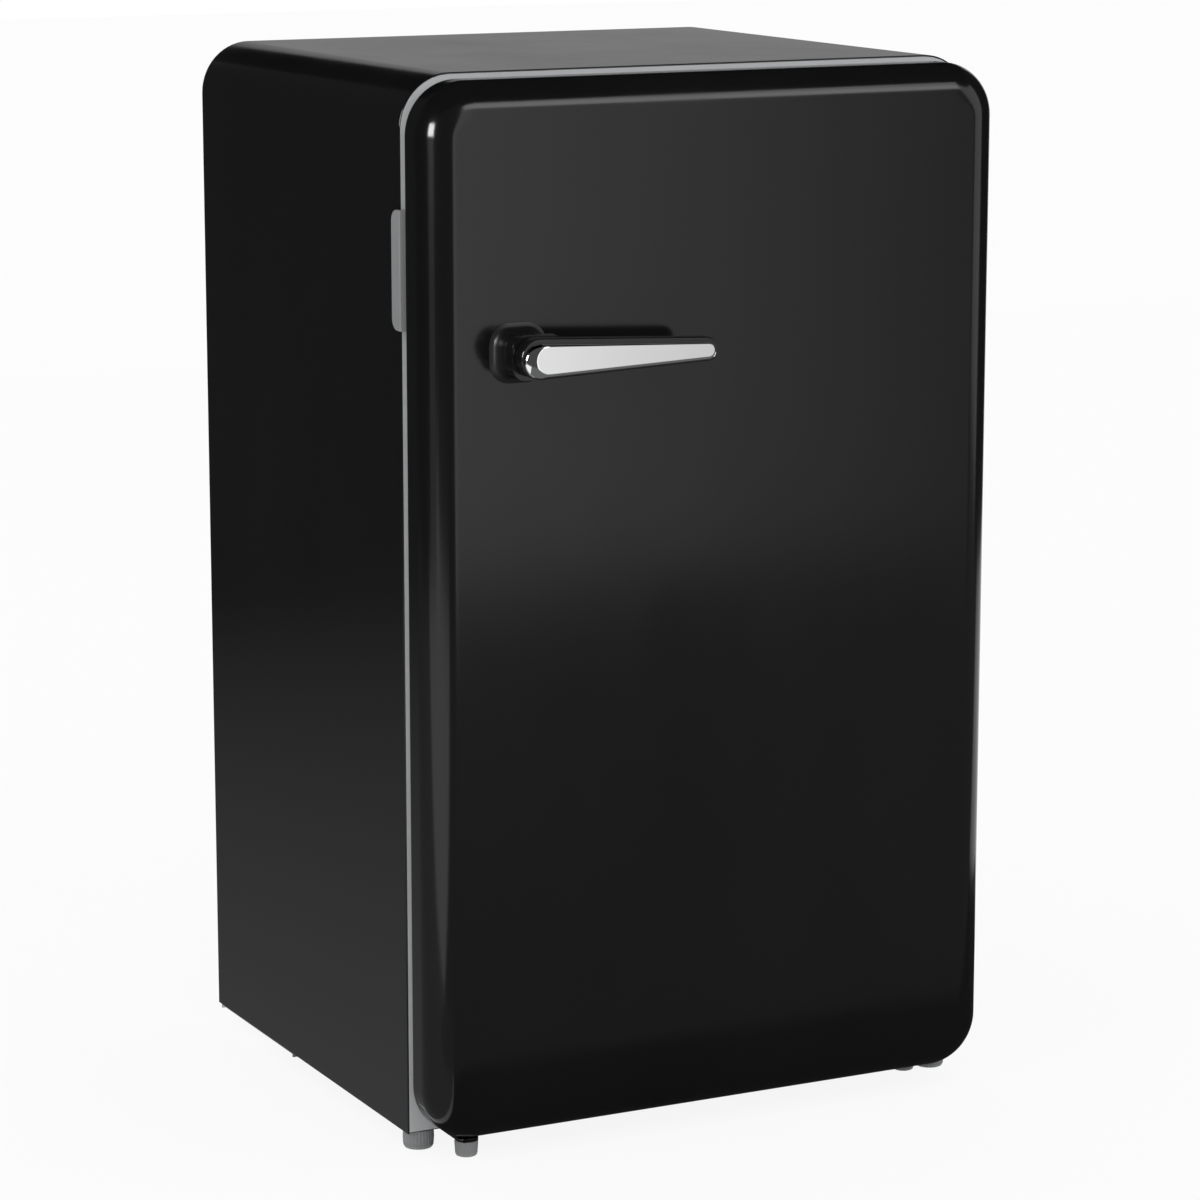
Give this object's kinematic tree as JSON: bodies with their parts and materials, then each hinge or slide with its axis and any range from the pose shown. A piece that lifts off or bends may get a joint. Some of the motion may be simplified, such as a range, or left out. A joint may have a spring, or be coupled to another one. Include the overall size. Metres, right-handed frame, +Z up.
{
  "type": "mini fridge",
  "caption": "Compact retro under-counter refrigerator with rounded corners, a right-hinged pillow-shaped door, a cantilevered handle, ice box, glass shelves and crisper drawer.",
  "frame": {"origin": "middle of the bounding box's base, on the floor that the feet stand on", "axes": "+X to the right as seen by someone facing the door, +Y to the back, +Z up"},
  "size_m": [0.504, 0.4972, 0.845],
  "materials": {
    "black_enamel": "gloss",
    "grey_painted_steel": "satin",
    "galvanised_steel": "satin",
    "zinc_plated_steel": "satin",
    "compressor_paint": "satin",
    "white_plastic": "satin",
    "grey_plastic": "satin",
    "black_plastic": "gloss",
    "clear_plastic": "gloss",
    "shelf_glass": "gloss",
    "insulation_foam": "matte",
    "black_rubber": "matte",
    "gasket_rubber": "matte",
    "copper": "satin",
    "evaporator_aluminium": "satin",
    "chrome_plating": "polished"
  },
  "bodies": {
    "cabinet": {"back_panel": "galvanised_steel", "base_pan": "galvanised_steel", "compressor": "compressor_paint", "compressor_bay_panel": "galvanised_steel", "compressor_grommet_front_left": "black_rubber", "compressor_grommet_front_right": "black_rubber", "compressor_grommet_rear_left": "black_rubber", "compressor_grommet_rear_right": "black_rubber", "compressor_plate": "galvanised_steel", "condenser_coil": "compressor_paint", "crisper_cover_glass": "shelf_glass", "discharge_pipe": "copper", "drain_pan": "white_plastic", "drain_tube": "grey_plastic", "drip_tray": "clear_plastic", "evaporator_box": "evaporator_aluminium", "filter_drier": "copper", "front_foot_left": "grey_plastic", "front_foot_right": "grey_plastic", "front_frame": "grey_painted_steel", "glass_shelf_lower": "shelf_glass", "glass_shelf_upper": "shelf_glass", "hinge_hole_cover": "grey_plastic", "ice_box_frame": "white_plastic", "inner_liner": "white_plastic", "insulation_foam": "insulation_foam", "lamp": "shelf_glass", "lamp_lens": "clear_plastic", "left_foot_bracket": "black_enamel", "lower_hinge_bracket": "zinc_plated_steel", "lower_hinge_pin": "zinc_plated_steel", "mains_cord_gland": "black_plastic", "outer_shell": "black_enamel", "rear_foot_left": "grey_plastic", "rear_foot_right": "grey_plastic", "shelf_trim_lower": "white_plastic", "shelf_trim_upper": "white_plastic", "start_relay_cover": "black_plastic", "suction_pipe": "copper", "thermostat_housing": "white_plastic", "upper_hinge_bracket": "zinc_plated_steel", "upper_hinge_cover": "grey_plastic", "upper_hinge_pin": "zinc_plated_steel"},
    "door": {"door_skin": "black_enamel", "door_foam": "insulation_foam", "door_liner": "white_plastic", "door_gasket": "gasket_rubber", "door_bottle_rack": "clear_plastic", "door_bin_middle": "clear_plastic", "door_bin_upper": "clear_plastic", "upper_hinge_bush": "white_plastic", "lower_hinge_bush": "white_plastic", "handle_base": "black_plastic", "handle_arm": "black_plastic", "handle_face": "chrome_plating"},
    "ice_flap": {"ice_box_flap": "white_plastic"},
    "drawer": {"crisper_drawer": "clear_plastic"},
    "knob": {"thermostat_knob": "grey_plastic"},
    "left_leveller": {"levelling_foot_left": "grey_plastic"},
    "right_leveller": {"levelling_foot_right": "grey_plastic"}
  },
  "joints": [
    {"name": "door_hinge", "type": "hinge", "parent": "cabinet", "child": "door", "pos_m": [0.238, -0.17535, 0], "axis": [0, 0, 1], "range_deg": [0, 110]},
    {"name": "ice_flap_hinge", "type": "hinge", "parent": "cabinet", "child": "ice_flap", "pos_m": [0, -0.03035, 0.7863], "axis": [-1, 0, 0], "range_deg": [0, 85]},
    {"name": "crisper_slide", "type": "slide", "parent": "cabinet", "child": "drawer", "axis": [0, -1, 0], "range_m": [0, 0.11]},
    {"name": "thermostat_turn", "type": "hinge", "parent": "cabinet", "child": "knob", "pos_m": [0.1873, -0.06335, 0.7396], "axis": [0, -1, 0], "range_deg": [0, 300]},
    {"name": "left_leveller_turn", "type": "hinge", "parent": "cabinet", "child": "left_leveller", "pos_m": [-0.21, -0.17535, 0], "axis": [0, 0, 1], "continuous": true},
    {"name": "right_leveller_turn", "type": "hinge", "parent": "cabinet", "child": "right_leveller", "pos_m": [0.21, -0.13935, 0], "axis": [0, 0, 1], "continuous": true}
  ],
  "couplings": [
    {"joint": "crisper_slide", "follows": "door_hinge", "m_per_rad": 0.05729}
  ]
}
